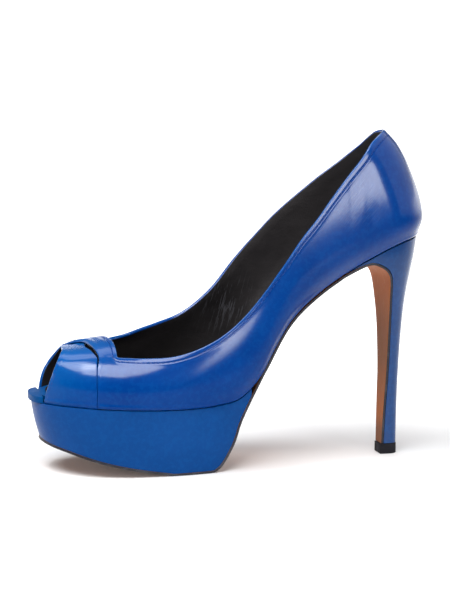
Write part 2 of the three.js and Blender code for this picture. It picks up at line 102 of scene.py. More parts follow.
class Curve:
    """Smooth curve through a table's rows, straight on past its ends."""

    def __init__(self, xs: Sequence[float], ys: Sequence[float]) -> None:
        """Keeps the rows and works out a slope at each.

        Args:
            xs: rising positions.
            ys: values there.
        """
        self.xs, self.ys = list(xs), list(ys)
        n = len(self.xs)
        step = [(self.ys[i + 1] - self.ys[i]) / (self.xs[i + 1] - self.xs[i]) for i in range(n - 1)]
        self.slopes = [step[0]]
        for i in range(1, n - 1):
            before, after = self.xs[i] - self.xs[i - 1], self.xs[i + 1] - self.xs[i]
            self.slopes.append((step[i - 1] * after + step[i] * before) / (before + after))
        self.slopes.append(step[-1])

    def __call__(self, v: float) -> float:
        """Value of the curve at v."""
        xs, ys, m = self.xs, self.ys, self.slopes
        if v <= xs[0]:
            return ys[0] + m[0] * (v - xs[0])
        if v >= xs[-1]:
            return ys[-1] + m[-1] * (v - xs[-1])
        i = bisect.bisect_right(xs, v) - 1
        h = xs[i + 1] - xs[i]
        t = (v - xs[i]) / h
        t2, t3 = t * t, t * t * t
        return ((2 * t3 - 3 * t2 + 1) * ys[i] + (t3 - 2 * t2 + t) * h * m[i]
                + (3 * t2 - 2 * t3) * ys[i + 1] + (t3 - t2) * h * m[i + 1])


def columns(rows: Sequence[Sequence[float]]) -> list[Curve]:
    """One curve for each column of a table after its first."""
    cols = list(zip(*rows))
    return [Curve(cols[0], col) for col in cols[1:]]


@dataclass
class Last:
    """The form the shoe is made on, in mm, as the source of the solids has it.

    A station is a share of the length. A place on the last is a run along the side, which goes on round
    the back of the heel, and a c across: -1 lateral feather, 0 ridge, 1 medial feather.
    """

    length: float = 223.5
    ball: float = 78.0
    seat: float = 125.2
    platform: float = 36.8
    vamp: float = 30.0
    back: float = 60.5
    heel_round: float = 25.0
    toe_round: float = 46.0
    toe_power: float = 2.2
    crown_power: float = 2.8
    belly_phi: float = 0.25
    skew: float = 5.0
    skew_rounds: float = 1.4
    feather_inset: float = 3.0
    lean_start: float = -0.09
    slope_step: float = 0.05
    normal_step: Place = (0.002, 0.004)
    # station, rise, half widths of feather (lateral, medial) and girth (same), heights of belly and ridge
    sections: tuple = (
        (0.000, 0.020, 0.970, 0.930, 0.990, 0.960, 0.30, 0.92),
        (0.090, 0.024, 0.980, 0.940, 1.000, 0.970, 0.30, 0.96),
        (0.160, 0.017, 1.000, 0.960, 1.020, 0.985, 0.30, 1.04),
        (0.240, 0.007, 1.010, 0.970, 1.040, 1.000, 0.30, 1.14),
        (0.320, 0.000, 1.000, 0.970, 1.050, 1.000, 0.33, 1.40),
        (0.385, 0.001, 0.965, 0.930, 1.040, 0.990, 0.40, 1.70),
        (0.440, 0.010, 0.900, 0.860, 1.010, 0.955, 0.48, 2.05),
        (0.510, 0.052, 0.770, 0.730, 0.945, 0.900, 0.62, 2.55),
        (0.560, 0.170, 0.670, 0.620, 0.890, 0.850, 0.74, 2.90),
        (0.595, 0.319, 0.615, 0.560, 0.860, 0.820, 0.80, 3.10),
        (0.632, 0.462, 0.575, 0.525, 0.830, 0.795, 0.82, 3.20),
        (0.668, 0.560, 0.555, 0.510, 0.800, 0.775, 0.82, 3.20),
        (0.704, 0.637, 0.550, 0.510, 0.775, 0.760, 0.80, 3.20),
        (0.776, 0.763, 0.560, 0.540, 0.735, 0.735, 0.74, 3.15),
        (0.850, 0.869, 0.580, 0.580, 0.705, 0.705, 0.68, 3.05),
        (0.925, 0.958, 0.590, 0.590, 0.680, 0.680, 0.64, 2.95),
        (1.000, 1.005, 0.590, 0.590, 0.660, 0.660, 0.62, 2.90),
    )
    # height share, lean share
    lean: tuple = (
        (0.00, -0.0130), (0.15, 0.0), (0.30, -0.0035), (0.45, -0.0150), (0.60, -0.0310),
        (0.75, -0.0500), (0.88, -0.0730), (1.00, -0.1060), (1.10, -0.1300),
    )
    # run, height shares of the lateral and the medial side
    topline: tuple = (
        (0.197, 0.189, 0.206), (0.262, 0.187, 0.238), (0.337, 0.195, 0.264), (0.405, 0.227, 0.297),
        (0.476, 0.287, 0.374), (0.557, 0.394, 0.485), (0.611, 0.491, 0.568), (0.675, 0.605, 0.658),
        (0.718, 0.668, 0.708), (0.774, 0.751, 0.767), (0.819, 0.813, 0.813), (0.866, 0.873, 0.858),
        (0.933, 0.954, 0.925), (0.975, 0.980, 0.962), (1.020, 0.994, 0.989), (1.064, 0.996, 0.996),
    )

    def __post_init__(self) -> None:
        """Turns the tables into curves."""
        self.rise, *sides, self.belly, self.ridge = columns(self.sections)
        self.widths = {side: (foot, girth) for side, foot, girth in zip(SIDES, sides[:2], sides[2:])}
        (self.lean_by,) = columns(self.lean)
        self.top = dict(zip(SIDES, columns(self.topline)))
        self.toe, self.heel = -self.length / 2, self.length / 2
        self.feather_tip = self.toe + self.feather_inset
        self.turn = self.heel - self.heel_round
        self.lean_from = self.lean_start * self.length
        self.run_end = 0.5 + (self.turn + self.heel_round * math.pi / 2) / self.length

    def share(self, x: float) -> float:
        """Station share of an x."""
        return x / self.length + 0.5

    def x_of(self, share: float) -> float:
        """x of a station share."""
        return (share - 0.5) * self.length

    def bed(self, x: float) -> float:
        """Height of the bed at x."""
        return self.platform + self.rise(self.share(x)) * (self.seat - self.platform)

    def lean_at(self, x: float, h: float) -> float:
        """Shift of the wall along x at height h over the bed."""
        weight = smooth((x - self.lean_from) / (self.turn - self.lean_from))
        return self.lean_by(h / self.back) * self.length * weight

    def foot_x(self, x: float) -> float:
        """x of the bed line for station x."""
        return x + self.lean_at(x, 0)

    def under_bed(self, x: float, off: float) -> Place:
        """Point (x, z) a clearance away from the bed line, below it for off > 0."""
        before, after = x - self.slope_step, x + self.slope_step
        dx, dz = self.foot_x(after) - self.foot_x(before), self.bed(after) - self.bed(before)
        size = math.hypot(dx, dz)
        return self.foot_x(x) + off * dz / size, self.bed(x) - off * dx / size

    def toe_share(self, x: float, tip: float) -> float:
        """Share of the full width where the toe rounds off."""
        return rounded((x - tip) / self.toe_round, self.toe_power)

    def heel_share(self, x: float, inset: float = 0.0) -> float:
        """Share of the full width where the heel rounds off."""
        d = clamp((x - self.turn) / (self.heel_round - inset))
        return math.sqrt(1 - d * d)

    def axis(self, x: float) -> float:
        """y of the middle line, skewed at the toe."""
        away = clamp((x - self.feather_tip) / (self.toe_round * self.skew_rounds))
        return self.skew * (1 - away) ** 2

    def half(self, x: float, side: int, tip: float, inset: float = 0.0) -> float:
        """Half width of the feather outline, drawn in by an inset."""
        width = self.widths[side][0](self.share(x)) * self.ball / 2 - inset
        return width * self.toe_share(x, tip + inset) * self.heel_share(x, inset)

    def flare(self, x: float, side: int, h: float) -> float:
        """How far the wall stands out past the feather outline at height h over the bed."""
        s = self.share(x)
        foot, girth = (width(s) for width in self.widths[side])
        k = clamp(h / (self.belly(s) * self.vamp))
        wide = (girth - foot) * self.ball / 2 * self.toe_share(x, self.feather_tip)
        return wide * (1 - (1 - k) ** 2) * self.heel_share(x)

    def around(self, run: float) -> Place:
        """x at a run, and what is left of the width on the way round the back of the heel."""
        u = self.x_of(run)
        if u <= self.turn:
            return u, 1.0
        angle = (u - self.turn) / self.heel_round
        return self.turn + self.heel_round * math.sin(angle), math.cos(angle)

    def point(self, run: float, c: float) -> Vector:
        """Point of the last at a place, in mm."""
        x, turned = self.around(run)
        s, side = self.share(x), LATERAL if c < 0 else MEDIAL
        toe = self.toe_share(x, self.feather_tip) * self.ball / 2
        foot, girth = (width(s) * toe for width in self.widths[side])
        belly, ridge = self.belly(s) * self.vamp, self.ridge(s) * self.vamp
        phi = 1 - abs(c)
        if phi < self.belly_phi:
            k = phi / self.belly_phi
            h, y = belly * k, foot + (girth - foot) * (1 - (1 - k) ** 2)
        else:
            a = (phi - self.belly_phi) / (1 - self.belly_phi) * math.pi / 2
            h = belly + (ridge - belly) * math.sin(a)
            y = girth * max(0.0, math.cos(a)) ** (2 / self.crown_power)
        return Vector((x + self.lean_at(x, h), self.axis(x) + side * y * turned, self.bed(x) + h))

    def normal(self, run: float, c: float) -> Vector:
        """Outward normal of the last at a place."""
        by_run, by_c = self.normal_step
        along = self.point(run + by_run, c) - self.point(run - by_run, c)
        across = self.point(run, min(1, c + by_c)) - self.point(run, max(-1, c - by_c))
        return along.cross(across).normalized()

    def topline_c(self, run: float, side: int) -> float:
        """Place across the last of the topline at a run."""
        x, _ = self.around(run)
        climb = self.top[side](run) * (self.seat + self.back - self.platform)
        h = self.platform + climb - self.bed(x)
        belly, ridge = (f(self.share(x)) * self.vamp for f in (self.belly, self.ridge))
        angle = math.asin(clamp((h - belly) / (ridge - belly)))
        return side * (1 - self.belly_phi) * (1 - angle / (math.pi / 2))


def math_node(operation: str, swapped: bool = False) -> Callable[[Wire, Wire | float], Wire]:
    """Method of Wire that adds one Math node of an operation, its inputs swapped on request."""

    def method(wire: Wire, other: Wire | float) -> Wire:
        """The sum of the wire and another wire or number."""
        a, b = (other, wire) if swapped else (wire, other)
        return wire.graph.node("ShaderNodeMath", {"operation": operation}, {0: a, 1: b})

    return method


class Wire:
    """A shader socket that takes part in sums."""

    __add__ = __radd__ = math_node("ADD")
    __sub__, __rsub__ = math_node("SUBTRACT"), math_node("SUBTRACT", swapped=True)
    __mul__ = __rmul__ = math_node("MULTIPLY")
    power = math_node("POWER")

    def __init__(self, graph: Graph, socket: bpy.types.NodeSocket) -> None:
        """Keeps the graph it is in and its socket."""
        self.graph, self.socket = graph, socket

    def below(self, limit: float, soft: float) -> Wire:
        """1 where self is under a limit, falling to 0 over a soft band."""
        return self.graph.node("ShaderNodeMapRange", {"interpolation_type": "SMOOTHSTEP"},
                               {"Value": self, "From Min": limit, "From Max": limit + soft,
                                "To Min": 1.0, "To Max": 0.0})


class Graph:
    """Node tree of one material, with a Principled shader at its end."""

    def __init__(self, name: str, **constants: object) -> None:
        """Makes the material.

        Args:
            name: the finish it shows.
            constants: values of shader sockets that are the same all over.
        """
        self.material = bpy.data.materials.new(name)
        self.material.use_nodes = True
        self.tree = self.material.node_tree
        self.tree.nodes.clear()
        self.shader = self.tree.nodes.new("ShaderNodeBsdfPrincipled")
        out = self.tree.nodes.new("ShaderNodeOutputMaterial")
        self.tree.links.new(self.shader.outputs[0], out.inputs["Surface"])
        for key, value in constants.items():
            self.shader.inputs[key.replace("_", " ")].default_value = value
        self.place = self.node("ShaderNodeTexCoord", {}, {}, "Object")

    def node(self, kind: str, settings: dict, inputs: dict, out: str | int = 0) -> Wire:
        """Adds a node.

        Args:
            kind: node type.
            settings: properties, set first.
            inputs: socket name or number to a value or a wire.
            out: the output wanted.

        Returns:
            The wire of that output.
        """
        made = self.tree.nodes.new(kind)
        for key, value in settings.items():
            setattr(made, key, value)
        for key, value in inputs.items():
            if isinstance(value, Wire):
                self.tree.links.new(value.socket, made.inputs[key])
            elif isinstance(value, tuple) and len(value) == 3 and len(made.inputs[key].default_value) == 4:
                made.inputs[key].default_value = (*value, 1.0)
            else:
                made.inputs[key].default_value = value
        return Wire(self, made.outputs[out])

    def blend(self, factor: Wire | float, a: Wire | tuple, b: Wire | tuple) -> Wire:
        """Colour a with colour b over it by a factor."""
        return self.node("ShaderNodeMix", {"data_type": "RGBA"}, {0: factor, 6: a, 7: b}, 2)

    def value_of(self, name: str) -> Wire:
        """Number that the mesh holds under a name."""
        return self.node("ShaderNodeAttribute", {"attribute_name": name}, {}, "Fac")

    def noise(self, scale: float, detail: float = 2.0, rough: float = 0.5,
              place: Wire | None = None) -> Wire:
        """Cloudy noise from 0 to 1, features per metre by scale."""
        return self.node("ShaderNodeTexNoise", {}, {"Vector": place or self.place, "Scale": scale,
                                                    "Detail": detail, "Roughness": rough})

    def cells(self, scale: float, feature: str = "DISTANCE_TO_EDGE") -> Wire:
        """Cell pattern, for grain and pores."""
        return self.node("ShaderNodeTexVoronoi", {"feature": feature},
                         {"Vector": self.place, "Scale": scale})

    def axis(self, name: str) -> Wire:
        """One of the object coordinates."""
        return self.node("ShaderNodeSeparateXYZ", {}, {0: self.place}, name)

    def distance(self, point: Triple) -> Wire:
        """Distance from a point, in metres."""
        return self.node("ShaderNodeVectorMath", {"operation": "DISTANCE"},
                         {0: self.place, 1: point}, "Value")

    def stretched(self, scale: Triple, turn: Triple = (0, 0, 0)) -> Wire:
        """Object coordinates scaled and turned."""
        return self.node("ShaderNodeMapping", {}, {"Vector": self.place, "Scale": scale, "Rotation": turn})

    def streaks(self, angle: float, along: float, across: float) -> Wire:
        """Coordinates for streaks that rise toward the heel at an angle, coarse along and fine across."""
        turned = self.node("ShaderNodeVectorRotate", {"rotation_type": "Y_AXIS"},
                           {"Vector": self.place, "Angle": math.radians(angle)})
        return self.node("ShaderNodeVectorMath", {"operation": "MULTIPLY"},
                         {0: turned, 1: (along, along, across)})

    def near(self, centre_mm: Triple, radius_mm: float) -> Wire:
        """1 at a place on the piece, fading to 0 at a radius."""
        return self.distance(tuple(v * MM for v in centre_mm)).below(0.0, radius_mm * MM)

    def bump(self, height: Wire, depth_mm: float, onto: Wire | None = None) -> Wire:
        """Bump normal of a height from 0 to 1."""
        inputs: dict = {"Height": height, "Strength": 1.0, "Distance": depth_mm * MM}
        if onto:
            inputs["Normal"] = onto
        return self.node("ShaderNodeBump", {}, inputs)

    def finish(self, **wires: Wire) -> bpy.types.Material:
        """Links the last wires to the shader and returns the material."""
        for key, wire in wires.items():
            self.tree.links.new(wire.socket, self.shader.inputs[key.replace("_", " ")])
        return self.material


class Finish(Protocol):
    """What a piece can be finished in."""

    name: str

    def material(self) -> bpy.types.Material:
        """Builds the node tree."""


@dataclass(frozen=True)
class CalfLeather:
    """Smooth semi-gloss calf, dyed, with fine grain, faint mottle and rubbed edges; light and shade painted
    in: a lighter toe, highlight streaks on the counter creases, a highlight line along the rubbed edges and
    shade in the stitch groove.
    """

    name: str
    base: Triple = (0.0, 0.038, 0.215)
    deep: Triple = (0.0, 0.03, 0.185)
    light: Triple = (0.006, 0.12, 0.38)
    # painted light: the toe's colour, lighter and greener where more light falls
    toe: Triple = (0.0, 0.105, 0.36)
    # painted highlight: colour of the light streaks on the counter creases
    pale_streak: Triple = (0.16, 0.27, 0.48)
    # painted shade: colour of the darkened stitch groove
    groove: Triple = (0.0, 0.015, 0.12)
    roughness: float = 0.24
    coat: float = 0.9
    grain_mm: float = 0.045
    mottle_mm: float = 0.22
    fold_mm: float = 0.42
    toe_light_spot: Spot = ((-95, 0, 70), 56)
    counter_spot: Spot = ((66, -22, 148), 25)
    creases: bool = False
    edges: bool = False

    def material(self) -> bpy.types.Material:
        """Builds the node tree."""
        g = Graph(self.name, IOR=1.45, Specular_IOR_Level=0.08, Coat_Roughness=0.155, Coat_IOR=1.5,
                  Specular_Tint=(0.3, 0.7, 1.0, 1.0))
        cloud = g.noise(38, 3, 0.55)
        speck = g.noise(420, 2, 0.6)
        colour = g.blend(cloud.below(0.42, 0.2) * 0.6, self.base, self.deep)
        colour = g.blend(speck.below(0.36, 0.2) * 0.1, colour, self.light)
        grain = g.cells(1500).power(0.6) * 0.6 + g.noise(2600, 2, 0.6) * 0.4
        rough = g.noise(160, 3, 0.6) * 0.14 + (self.roughness - 0.07)
        normal = g.bump(grain, self.grain_mm)
        normal = g.bump(g.noise(55, 2, 0.5), self.mottle_mm, normal)
        if self.creases:
            # painted light: the toe end is painted lighter, as if lit more strongly
            colour = g.blend(g.near(*self.toe_light_spot) * 0.8, colour, self.toe)
            mask = g.near(*self.counter_spot)
            fold = g.noise(1.0, 3, 0.6, g.streaks(58, 45, 700))
            fine = g.noise(1.0, 2, 0.6, g.streaks(50, 160, 2200))
            normal = g.bump((fold * 0.5 + fine * 0.5) * mask, self.fold_mm, normal)
            rough = rough + mask * fine * 0.15
            # painted highlight: pale streaks along the counter creases, where light catches them
            colour = g.blend(fine.below(0.4, 0.08) * mask * 0.16, colour, self.pale_streak)
        if self.edges:
            hem = g.value_of("hem_mm")
            # rubbed edges: partly wear, partly a painted highlight line along the folded edge
            edge_wear_and_highlight = hem.below(0.35, 0.75) * (g.noise(240, 3, 0.6) * 0.9 + 0.15)
            colour = g.blend(edge_wear_and_highlight * 0.55, colour, self.light)
            # painted shade: the stitch groove is darkened
            groove = hem.below(2.6, 0.3) * (1 - hem.below(2.1, 0.3))
            colour = g.blend(groove * 0.5, colour, self.groove)
            rough = rough + edge_wear_and_highlight * 0.05
        gloss = (cloud * 0.4 + 0.8) * self.coat
        if self.edges:
            gloss = gloss * (g.value_of("polish") * 0.85 + 0.15)
        return g.finish(Base_Color=colour, Roughness=rough, Normal=normal, Coat_Weight=gloss)


@dataclass(frozen=True)
class LiningLeather:
    """Black lining and sock: matt, with fine pores, a softly polished wear and painted highlight streaks on
    creases in one patch.
    """

    name: str
    gloss: float = 0.14
    base: Triple = (0.014, 0.0125, 0.014)
    worn: Triple = (0.06, 0.055, 0.056)
    # painted highlight: colour of the light streaks on the lining's creases
    crease_highlight: Triple = (0.16, 0.16, 0.18)
    crease_highlight_spot: Spot = ((4, 34, 86), 26)
    pore_mm: float = 0.06
    wave_mm: float = 0.35

    def material(self) -> bpy.types.Material:
        """Builds the node tree."""
        g = Graph(self.name, IOR=1.4, Specular_IOR_Level=self.gloss)
        wear = g.noise(45, 4, 0.6)
        colour = g.blend(wear * 0.7, self.base, self.worn)
        # painted highlight: pale streaks on the lining's creases, in one patch
        crease_streak = g.noise(1.0, 3, 0.7, g.streaks(75, 70, 800)).below(0.4, 0.05)
        colour = g.blend(crease_streak * g.near(*self.crease_highlight_spot) * 0.5, colour, self.crease_highlight)
        normal = g.bump(g.cells(1300, "F1"), self.pore_mm)
        normal = g.bump(g.noise(1.0, 3, 0.6, g.stretched((60, 60, 160))), self.wave_mm, normal)
        return g.finish(Base_Color=colour, Roughness=0.62 - wear * 0.2, Normal=normal)


@dataclass(frozen=True)
class SoleLeather:
    """Tan outsole leather: waxed, with fibres along the shoe, light scuffs on the tread and a darker heel
    breast; the tread is painted dark as shade.
    """

    name: str
    base: Triple = (0.46, 0.155, 0.05)
    dark: Triple = (0.34, 0.105, 0.034)
    scuffed: Triple = (0.5, 0.3, 0.18)
    # darker colour over the heel breast
    breast_dark: Triple = (0.15, 0.07, 0.036)
    # painted shade: dark colour of the tread
    tread_shade: Triple = (0.1, 0.075, 0.06)
    breast_dark_spot: Spot = ((91, 0, 62), 52)
    tread_height: float = 0.012
    fibre_mm: float = 0.05

    def material(self) -> bpy.types.Material:
        """Builds the node tree."""
        g = Graph(self.name, IOR=1.45, Specular_IOR_Level=0.02)
        fibre = g.noise(1.0, 4, 0.65, g.stretched((90, 500, 90)))
        cloud = g.noise(30, 3, 0.5)
        colour = g.blend(fibre * 0.45, self.base, self.dark)
        colour = g.blend(cloud.below(0.45, 0.2) * 0.3, colour, self.dark)
        pale_streak = g.noise(1.0, 4, 0.7, g.stretched((260, 900, 260), (0, 0, 0.4)))
        colour = g.blend(pale_streak.below(0.34, 0.06) * 0.4, colour, self.scuffed)
        # darker over the breast of the heel
        colour = g.blend(g.near(*self.breast_dark_spot) * 0.75, colour, self.breast_dark)
        # painted shade: the tread, always in shade, is darkened so that its bounce deepens the floor's
        # contact shadow
        tread = g.axis("Z").below(self.tread_height, self.tread_height)
        colour = g.blend(tread * 0.6, colour, self.tread_shade)
        return g.finish(Base_Color=colour, Roughness=0.34 + fibre * 0.2,
                        Normal=g.bump(fibre * 0.6 + g.noise(1400, 2) * 0.4, self.fibre_mm))


@dataclass(frozen=True)
class Painted:
    """Edge paint, rubber and thread: one dark or dyed body colour with its own bump."""

    name: str
    base: Triple
    worn: Triple
    roughness: float
    grain: float = 900.0
    depth_mm: float = 0.04

    def material(self) -> bpy.types.Material:
        """Builds the node tree."""
        g = Graph(self.name, IOR=1.45, Specular_IOR_Level=0.4)
        wear = g.noise(120, 4, 0.65)
        colour = g.blend(wear.below(0.38, 0.12), self.base, self.worn)
        return g.finish(Base_Color=colour, Roughness=wear * 0.2 + (self.roughness - 0.1),
                        Normal=g.bump(g.noise(self.grain, 3, 0.6), self.depth_mm))


@dataclass(frozen=True)
class StudioFloor:
    """Pale matt sweep that the shoe stands on, lit from within as painted light: it glows strongly behind
    the shoe and faintly near it.
    """

    name: str = "pale_sweep"
    base: Triple = (0.8, 0.8, 0.8)
    shade: Triple = (0.76, 0.76, 0.77)
    dim: Triple = (0.14, 0.14, 0.145)
    lit_centre: Triple = (0.0, 0.45, 0.0)
    lit_radius: float = 0.75
    glow: float = 0.8
    near: float = 0.06

    def material(self) -> bpy.types.Material:
        """Builds the node tree, dim far out on the side that the camera stands on."""
        g = Graph(self.name, Specular_IOR_Level=0.15, Emission_Strength=1.0)
        colour = g.blend(g.noise(6, 2) * 0.06, self.base, self.shade)
        depth = g.axis("Y")
        away = (1 - g.distance(self.lit_centre).below(self.lit_radius, 0.3)) * depth.below(-0.2, 0.2)
        colour = g.blend(away, colour, self.dim)
        # painted light: the floor emits, strongly behind the shoe so the backdrop turns white, faintly near
        # it so the shadows lift
        glow = g.blend(depth.below(0.02, 0.45), (self.glow,) * 3, (self.near,) * 3)
        glow = g.blend(away, glow, (0.0,) * 3)
        return g.finish(Base_Color=colour, Roughness=0.6 + g.noise(20, 2) * 0.1, Emission_Color=glow)


class Workshop:
    """Turns bmesh forms into dressed pieces that ride on the shoe."""

    def __init__(self) -> None:
        """Starts with no materials made."""
        self.made: dict[str, bpy.types.Material] = {}

    def dress(self, name: str, form: Form, finishes: Sequence[Finish]) -> bpy.types.Object:
        """Smooth object of a form in metres, which is freed, with a finish for each material index."""
        mesh = bpy.data.meshes.new(name)
        for face in form.faces:
            face.smooth = True
        form.to_mesh(mesh)
        form.free()
        for finish in finishes:
            if finish.name not in self.made:
                self.made[finish.name] = finish.material()
            mesh.materials.append(self.made[finish.name])
        made = bpy.data.objects.new(name, mesh)
        bpy.context.scene.collection.objects.link(made)
        return made

    def piece(self, name: str, form: Form, finishes: Sequence[Finish], slot: str,
              replaces: Sequence[str] = (), sharp: float = 40.0) -> None:
        """Makes a piece that rides on the shoe.

        Args:
            name: the piece's name.
            form: its mesh in mm, freed here.
            finishes: one for each material index.
            slot: not used.
            replaces: solids it stands for.
            sharp: angle in degrees past which an edge stays sharp.
        """
        bmesh.ops.scale(form, vec=(MM, MM, MM), verts=form.verts)
        for edge in self.sharp_edges(form, sharp):
            edge.smooth = False
        made = self.dress(name, form, finishes)
        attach(made, "root")
        if replaces:
            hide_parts(*replaces)
        LOG.info("%s: %d faces", name, len(made.data.polygons))

    @staticmethod
    def sharp_edges(form: Form, least: float) -> list[bmesh.types.BMEdge]:
        """Edges between two faces that turn sharper than an angle in degrees."""
        return [e for e in form.edges
                if len(e.link_faces) == 2 and e.calc_face_angle(0.0) > math.radians(least)]

    def soften(self, form: Form, radius: float, segments: int, least: float = 50.0) -> None:
        """Rounds the edges that turn sharper than an angle, and drops what the rounding pinches."""
        bmesh.ops.bevel(form, geom=self.sharp_edges(form, least), offset=radius, offset_type="OFFSET",
                        segments=segments, profile=0.5, affect="EDGES", clamp_overlap=True, material=-1)
        bmesh.ops.dissolve_degenerate(form, dist=5e-3, edges=form.edges[:])

    def sheet(self, rows: int, cols: int, place: Callable[[int, int], Vector],
              values: dict[str, Callable[[int, int], float]] | None = None,
              zone: Callable[[int, int], Skin] | None = None) -> Form:
        """Tube of closed sections: a grid laid where place says, its last column on its first.

        Args:
            rows: vertices along.
            cols: vertices across.
            place: point in mm for a row and a column.
            values: numbers kept on the vertices, by name.
            zone: material zone of the face that starts at a row and a column.

        Returns:
            The form, open at its two ends.
        """
        form = bmesh.new()
        bmesh.ops.create_grid(form, x_segments=rows - 1, y_segments=cols - 1, size=1.0)
        for face in form.faces if zone else ():
            centre = face.calc_center_median()
            i, j = int((centre.x + 1) / 2 * (rows - 1)), int((centre.y + 1) / 2 * (cols - 1))
            face.material_index = zone(i, j).value
        layers = {key: form.verts.layers.float.new(key) for key in (values or {})}
        order = sorted(form.verts, key=lambda v: (round(v.co.x, 5), round(v.co.y, 5)))
        for k, vert in enumerate(order):
            i, j = divmod(k, cols)
            vert.co = place(i, j)
            for key, layer in layers.items():
                vert[layer] = values[key](i, j)
        bmesh.ops.remove_doubles(form, verts=form.verts, dist=1e-5)
        return form

    def close(self, form: Form) -> None:
        """Fills open borders and turns the faces outward."""
        borders = [e for e in form.edges if e.is_boundary]
        if borders:
            bmesh.ops.holes_fill(form, edges=borders, sides=0)
        bmesh.ops.recalc_face_normals(form, faces=form.faces)


@dataclass
class BandRow:
    """One rung of the upper's band: front and rear edge on the last, lift, share of pleats and of hem."""

    front: Place
    rear: Place
    lift: float
    pleat: float = 0.0
    hem: float = 0.0


@dataclass
class Band:
    """The upper's band, from the lateral toe round the heel to the medial toe, crossing itself."""

    last: Last
    slit: float = 0.02
    corner: float = 0.2045
    toe_rungs: int = 26
    leg_rungs: int = 70
    fan_rungs: int = 24
    side_rungs: int = 150
    over_hemmed: float = 0.5
    hem_fade: float = 0.15
    # front station, front place, rear station, rear place, lift; a leg starts or ends on a toe's last rung
    toe_lateral: tuple = (
        (0.029, -1.00, 0.144, -1.00, 0.0), (0.034, -0.80, 0.144, -0.78, 0.0),
        (0.046, -0.56, 0.145, -0.56, 0.0), (0.059, -0.36, 0.152, -0.31, 0.0),
    )
    toe_medial: tuple = (
        (0.064, 0.54, 0.139, 0.53, 0.0), (0.046, 0.70, 0.143, 0.70, 0.0),
        (0.037, 0.86, 0.144, 0.86, 0.0), (0.034, 1.00, 0.144, 1.00, 0.0),
    )
    under: tuple = (
        toe_lateral[-1], (0.069, -0.20, 0.1440, -0.17, -0.5),
        (0.080, -0.04, 0.1380, -0.01, -1.0), (0.090, 0.11, 0.1590, 0.12, -1.0),
        (0.110, 0.23, 0.1880, 0.22, -1.0), (0.148, 0.37, 0.2000, 0.30, -0.5),
        (0.158, 0.50, 0.2045, 0.36, 0.0),
    )
    over: tuple = (
        (0.1550, -0.28, 0.1990, -0.31, 0.0), (0.1510, -0.14, 0.2010, -0.18, 0.5),
        (0.1400, 0.03, 0.2005, -0.01, 1.0), (0.1120, 0.17, 0.1900, 0.14, 1.0),
        (0.0940, 0.29, 0.1580, 0.26, 1.0), (0.0800, 0.42, 0.1400, 0.40, 0.5), toe_medial[0],
    )

    def leg(self, rows: tuple, n: int, hemmed: float = 0.0) -> list[BandRow]:
        """Rungs along one leg of the band, its rear edge hemmed up to a share of the way."""
        cols = columns([(i / (len(rows) - 1), *row) for i, row in enumerate(rows)])
        made = []
        for t in spread(n, 0, 1):
            front_at, front, rear_at, rear, lift = (col(t) for col in cols)
            hem = 1 - smooth((t - hemmed) / self.hem_fade) if hemmed else 0.0
            made.append(BandRow((front_at, front), (rear_at, rear), lift, abs(lift), hem))
        return made

    def quarter(self, side: int) -> list[BandRow]:
        """Rungs of one side, from the seam foot to the back of the heel."""
        seam = self.toe_lateral[0][2] + self.slit / self.last.length
        end = self.last.run_end
        rows = []
        for t in spread(self.side_rungs, 0, 1):
            rear = mix(self.corner, end, t)
            place = self.last.topline_c(rear, side)
            rows.append(BandRow((mix(seam, end, t), side), (rear, place), 0.0, hem=1.0))
        return rows

    def fan(self, side: int, top: BandRow, rows: tuple) -> list[BandRow]:
        """Rungs up the seam while the rear edge rounds the corner of the throat."""
        corner = self.last.topline_c(self.corner, side)
        seam = Curve(*zip(*sorted((side * r[3], r[2]) for r in rows)))
        made = []
        for t in spread(self.fan_rungs, 0, 1):
            c, a = mix(side, top.front[1], t), t * math.pi / 2
            along = seam(side * c) + self.slit / self.last.length
            rise = smooth(side * (c - top.front[1]) / 0.2)
            made.append(BandRow((mix(top.front[0], along, rise), c),
                                (mix(self.corner, top.rear[0], math.sin(a)),
                                 mix(corner, top.rear[1], 1 - math.cos(a))),
                                0.0, smooth(t * 2 - 1) * 0.5, 1.0))
        return made

    def rows(self) -> list[BandRow]:
        """All rungs, end to end."""
        under = self.leg(self.under, self.leg_rungs)
        over = self.leg(self.over, self.leg_rungs, self.over_hemmed)
        stretches = (
            self.leg(self.toe_lateral, self.toe_rungs), under,
            self.fan(MEDIAL, under[-1], self.toe_medial)[::-1], self.quarter(MEDIAL),
            self.quarter(LATERAL)[::-1], self.fan(LATERAL, over[0], self.toe_lateral),
            over, self.leg(self.toe_medial, self.toe_rungs),
        )
        return [row for stretch in stretches for row in stretch[:-1]] + stretches[-1][-1:]


@dataclass
class Crease:
    """A soft trough or ridge across the leather, between two places on the last."""

    start: Place
    end: Place
    width: float
    depth: float


